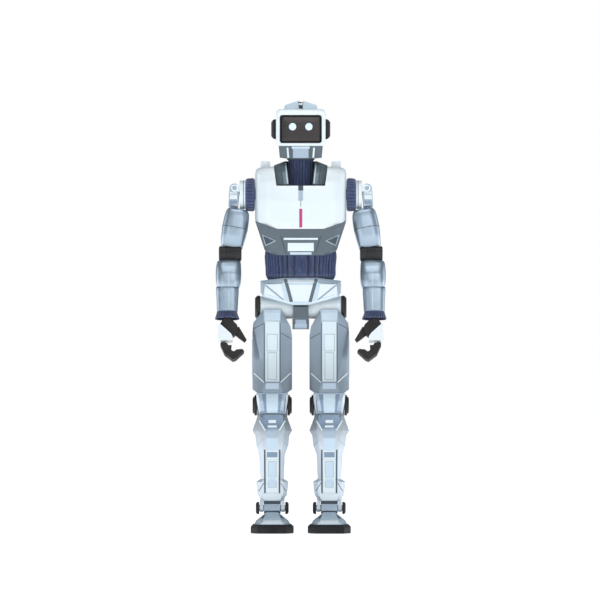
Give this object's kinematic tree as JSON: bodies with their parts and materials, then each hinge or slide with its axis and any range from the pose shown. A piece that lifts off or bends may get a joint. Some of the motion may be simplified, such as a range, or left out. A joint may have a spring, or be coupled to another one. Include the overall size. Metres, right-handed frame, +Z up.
{
  "type": "humanoid robot",
  "caption": "Full-size standing humanoid robot with faceted covers, screen face, jointed arms, legs, waist, neck and gripping hands.",
  "frame": {"origin": "on the floor, midway between the feet and at the middle of the robot's depth", "axes": "+Z up, the robot faces -Y, its left side is +X"},
  "size_m": [0.694, 0.29, 1.729],
  "materials": {
    "white_shell": "smooth white moulded shell",
    "silver_shell": "pale silver-blue painted shell",
    "grey_cover": "satin grey",
    "black_trim": "satin black",
    "rubber_sole": "matt moulded rubber",
    "navy_fabric": "ribbed woven cover",
    "screen": "glossy dark display",
    "metal_frame": "machined"
  },
  "bodies": {
    "pelvis": {"pelvis_frame": "metal_frame", "pelvis_front_cover": "silver_shell", "pelvis_rear_cover": "silver_shell", "left_hip_actuator": "white_shell", "right_hip_actuator": "white_shell"},
    "waist": {"waist_column": "metal_frame", "waist_sleeve": "navy_fabric"},
    "torso": {"torso_frame": "metal_frame", "battery_pack": "black_trim", "chest_front_shell": "white_shell", "chest_back_shell": "white_shell", "chest_lower_cover": "grey_cover", "collar": "silver_shell", "left_shoulder_sleeve": "navy_fabric", "right_shoulder_sleeve": "navy_fabric"},
    "neck": {"neck_column": "metal_frame", "neck_sleeve": "navy_fabric"},
    "head": {"jaw_cover": "grey_cover", "head_shell": "white_shell", "face_frame": "white_shell", "face_display": "screen", "crown_cover": "silver_shell", "left_ear_pad": "black_trim", "right_ear_pad": "black_trim"},
    "left_shoulder_link": {"left_shoulder_ring": "white_shell"},
    "left_shoulder": {"left_shoulder_cup": "silver_shell"},
    "left_upper_arm": {"left_upper_arm_shell": "silver_shell", "left_elbow_ring": "black_trim"},
    "left_forearm": {"left_forearm_shell": "silver_shell"},
    "left_hand": {"left_wrist_section": "navy_fabric", "left_hand_shell": "white_shell"},
    "left_thumb_body": {"left_thumb": "black_trim"},
    "left_finger_body": {"left_fingers": "black_trim"},
    "left_hip_link": {"left_hip_cap": "black_trim", "left_hip_bracket": "metal_frame"},
    "left_thigh": {"left_thigh_shell": "silver_shell", "left_knee_cap": "silver_shell"},
    "left_shin": {"left_shin_shell": "silver_shell", "left_knee_axle": "black_trim"},
    "left_ankle": {"left_ankle_block": "metal_frame"},
    "left_foot": {"left_foot_cover": "silver_shell", "left_foot_sole": "rubber_sole"},
    "right_shoulder_link": {"right_shoulder_ring": "white_shell"},
    "right_shoulder": {"right_shoulder_cup": "silver_shell"},
    "right_upper_arm": {"right_upper_arm_shell": "silver_shell", "right_elbow_ring": "black_trim"},
    "right_forearm": {"right_forearm_shell": "silver_shell"},
    "right_hand": {"right_wrist_section": "navy_fabric", "right_hand_shell": "white_shell"},
    "right_thumb_body": {"right_thumb": "black_trim"},
    "right_finger_body": {"right_fingers": "black_trim"},
    "right_hip_link": {"right_hip_cap": "black_trim", "right_hip_bracket": "metal_frame"},
    "right_thigh": {"right_thigh_shell": "silver_shell", "right_knee_cap": "silver_shell"},
    "right_shin": {"right_shin_shell": "silver_shell", "right_knee_axle": "black_trim"},
    "right_ankle": {"right_ankle_block": "metal_frame"},
    "right_foot": {"right_foot_cover": "silver_shell", "right_foot_sole": "rubber_sole"}
  },
  "joints": [
    {"name": "waist_yaw", "type": "hinge", "parent": "pelvis", "child": "waist", "pos_m": [0, 0.033, 1.025], "axis": [0, 0, 1], "range_deg": [-45, 45]},
    {"name": "waist_pitch", "type": "hinge", "parent": "waist", "child": "torso", "pos_m": [0, 0.033, 1.05], "axis": [1, 0, 0], "range_deg": [-10, 25], "deforming": ["waist_sleeve"]},
    {"name": "neck_yaw", "type": "hinge", "parent": "torso", "child": "neck", "pos_m": [0, 0.033, 1.384], "axis": [0, 0, 1], "range_deg": [-50, 50]},
    {"name": "head_pitch", "type": "hinge", "parent": "neck", "child": "head", "pos_m": [0, 0.033, 1.535], "axis": [1, 0, 0], "range_deg": [-15, 8]},
    {"name": "left_shoulder_pitch", "type": "hinge", "parent": "torso", "child": "left_shoulder_link", "pos_m": [0.183, 0.033, 1.353], "axis": [-1, 0, 0], "range_deg": [-40, 150]},
    {"name": "left_shoulder_roll", "type": "hinge", "parent": "left_shoulder_link", "child": "left_shoulder", "pos_m": [0.265, 0.0361, 1.3728], "axis": [0, -0.9877, 0.1564], "range_deg": [-2, 90]},
    {"name": "left_arm_yaw", "type": "hinge", "parent": "left_shoulder", "child": "left_upper_arm", "pos_m": [0.282, -0.0044, 1.1169], "axis": [-0.1788, 0.1539, 0.9718], "range_deg": [-80, 80]},
    {"name": "left_elbow", "type": "hinge", "parent": "left_upper_arm", "child": "left_forearm", "pos_m": [0.282, -0.0044, 1.1169], "axis": [-1, 0, 0], "range_deg": [0, 105]},
    {"name": "left_wrist_yaw", "type": "hinge", "parent": "left_forearm", "child": "left_hand", "pos_m": [0.294, -0.0433, 0.871], "axis": [0, 0.1564, 0.9877], "range_deg": [-85, 85]},
    {"name": "left_thumb_joint", "type": "hinge", "parent": "left_hand", "child": "left_thumb_body", "pos_m": [0.26, -0.0538, 0.8048], "axis": [0, -0.9877, 0.1564], "range_deg": [-30, 6]},
    {"name": "left_finger_joint", "type": "hinge", "parent": "left_hand", "child": "left_finger_body", "pos_m": [0.312, -0.0623, 0.7515], "axis": [0, 0.9877, -0.1564], "range_deg": [-35, 12]},
    {"name": "left_hip_pitch", "type": "hinge", "parent": "pelvis", "child": "left_hip_link", "pos_m": [0.114, 0.033, 0.902], "axis": [-1, 0, 0], "range_deg": [-25, 50]},
    {"name": "left_hip_roll", "type": "hinge", "parent": "left_hip_link", "child": "left_thigh", "pos_m": [0.114, 0.033, 0.83], "axis": [0, -1, 0], "range_deg": [-1.5, 22]},
    {"name": "left_knee", "type": "hinge", "parent": "left_thigh", "child": "left_shin", "pos_m": [0.114, 0.033, 0.511], "axis": [1, 0, 0], "range_deg": [0, 105]},
    {"name": "left_ankle_pitch", "type": "hinge", "parent": "left_shin", "child": "left_ankle", "pos_m": [0.114, 0.033, 0.1], "axis": [-1, 0, 0], "range_deg": [-35, 25]},
    {"name": "left_ankle_roll", "type": "hinge", "parent": "left_ankle", "child": "left_foot", "pos_m": [0.114, 0.033, 0.062], "axis": [0, 1, 0], "range_deg": [-10, 10]},
    {"name": "right_shoulder_pitch", "type": "hinge", "parent": "torso", "child": "right_shoulder_link", "pos_m": [-0.183, 0.033, 1.353], "axis": [-1, 0, 0], "range_deg": [-40, 150]},
    {"name": "right_shoulder_roll", "type": "hinge", "parent": "right_shoulder_link", "child": "right_shoulder", "pos_m": [-0.265, 0.0361, 1.3728], "axis": [0, 0.9877, -0.1564], "range_deg": [-2, 90]},
    {"name": "right_arm_yaw", "type": "hinge", "parent": "right_shoulder", "child": "right_upper_arm", "pos_m": [-0.282, -0.0044, 1.1169], "axis": [-0.1788, -0.1539, -0.9718], "range_deg": [-80, 80]},
    {"name": "right_elbow", "type": "hinge", "parent": "right_upper_arm", "child": "right_forearm", "pos_m": [-0.282, -0.0044, 1.1169], "axis": [-1, 0, 0], "range_deg": [0, 105]},
    {"name": "right_wrist_yaw", "type": "hinge", "parent": "right_forearm", "child": "right_hand", "pos_m": [-0.294, -0.0433, 0.871], "axis": [0, -0.1564, -0.9877], "range_deg": [-85, 85]},
    {"name": "right_thumb_joint", "type": "hinge", "parent": "right_hand", "child": "right_thumb_body", "pos_m": [-0.26, -0.0538, 0.8048], "axis": [0, 0.9877, -0.1564], "range_deg": [-30, 6]},
    {"name": "right_finger_joint", "type": "hinge", "parent": "right_hand", "child": "right_finger_body", "pos_m": [-0.312, -0.0623, 0.7515], "axis": [0, -0.9877, 0.1564], "range_deg": [-35, 12]},
    {"name": "right_hip_pitch", "type": "hinge", "parent": "pelvis", "child": "right_hip_link", "pos_m": [-0.114, 0.033, 0.902], "axis": [-1, 0, 0], "range_deg": [-25, 50]},
    {"name": "right_hip_roll", "type": "hinge", "parent": "right_hip_link", "child": "right_thigh", "pos_m": [-0.114, 0.033, 0.83], "axis": [0, 1, 0], "range_deg": [-1.5, 22]},
    {"name": "right_knee", "type": "hinge", "parent": "right_thigh", "child": "right_shin", "pos_m": [-0.114, 0.033, 0.511], "axis": [1, 0, 0], "range_deg": [0, 105]},
    {"name": "right_ankle_pitch", "type": "hinge", "parent": "right_shin", "child": "right_ankle", "pos_m": [-0.114, 0.033, 0.1], "axis": [-1, 0, 0], "range_deg": [-35, 25]},
    {"name": "right_ankle_roll", "type": "hinge", "parent": "right_ankle", "child": "right_foot", "pos_m": [-0.114, 0.033, 0.062], "axis": [0, -1, 0], "range_deg": [-10, 10]}
  ]
}
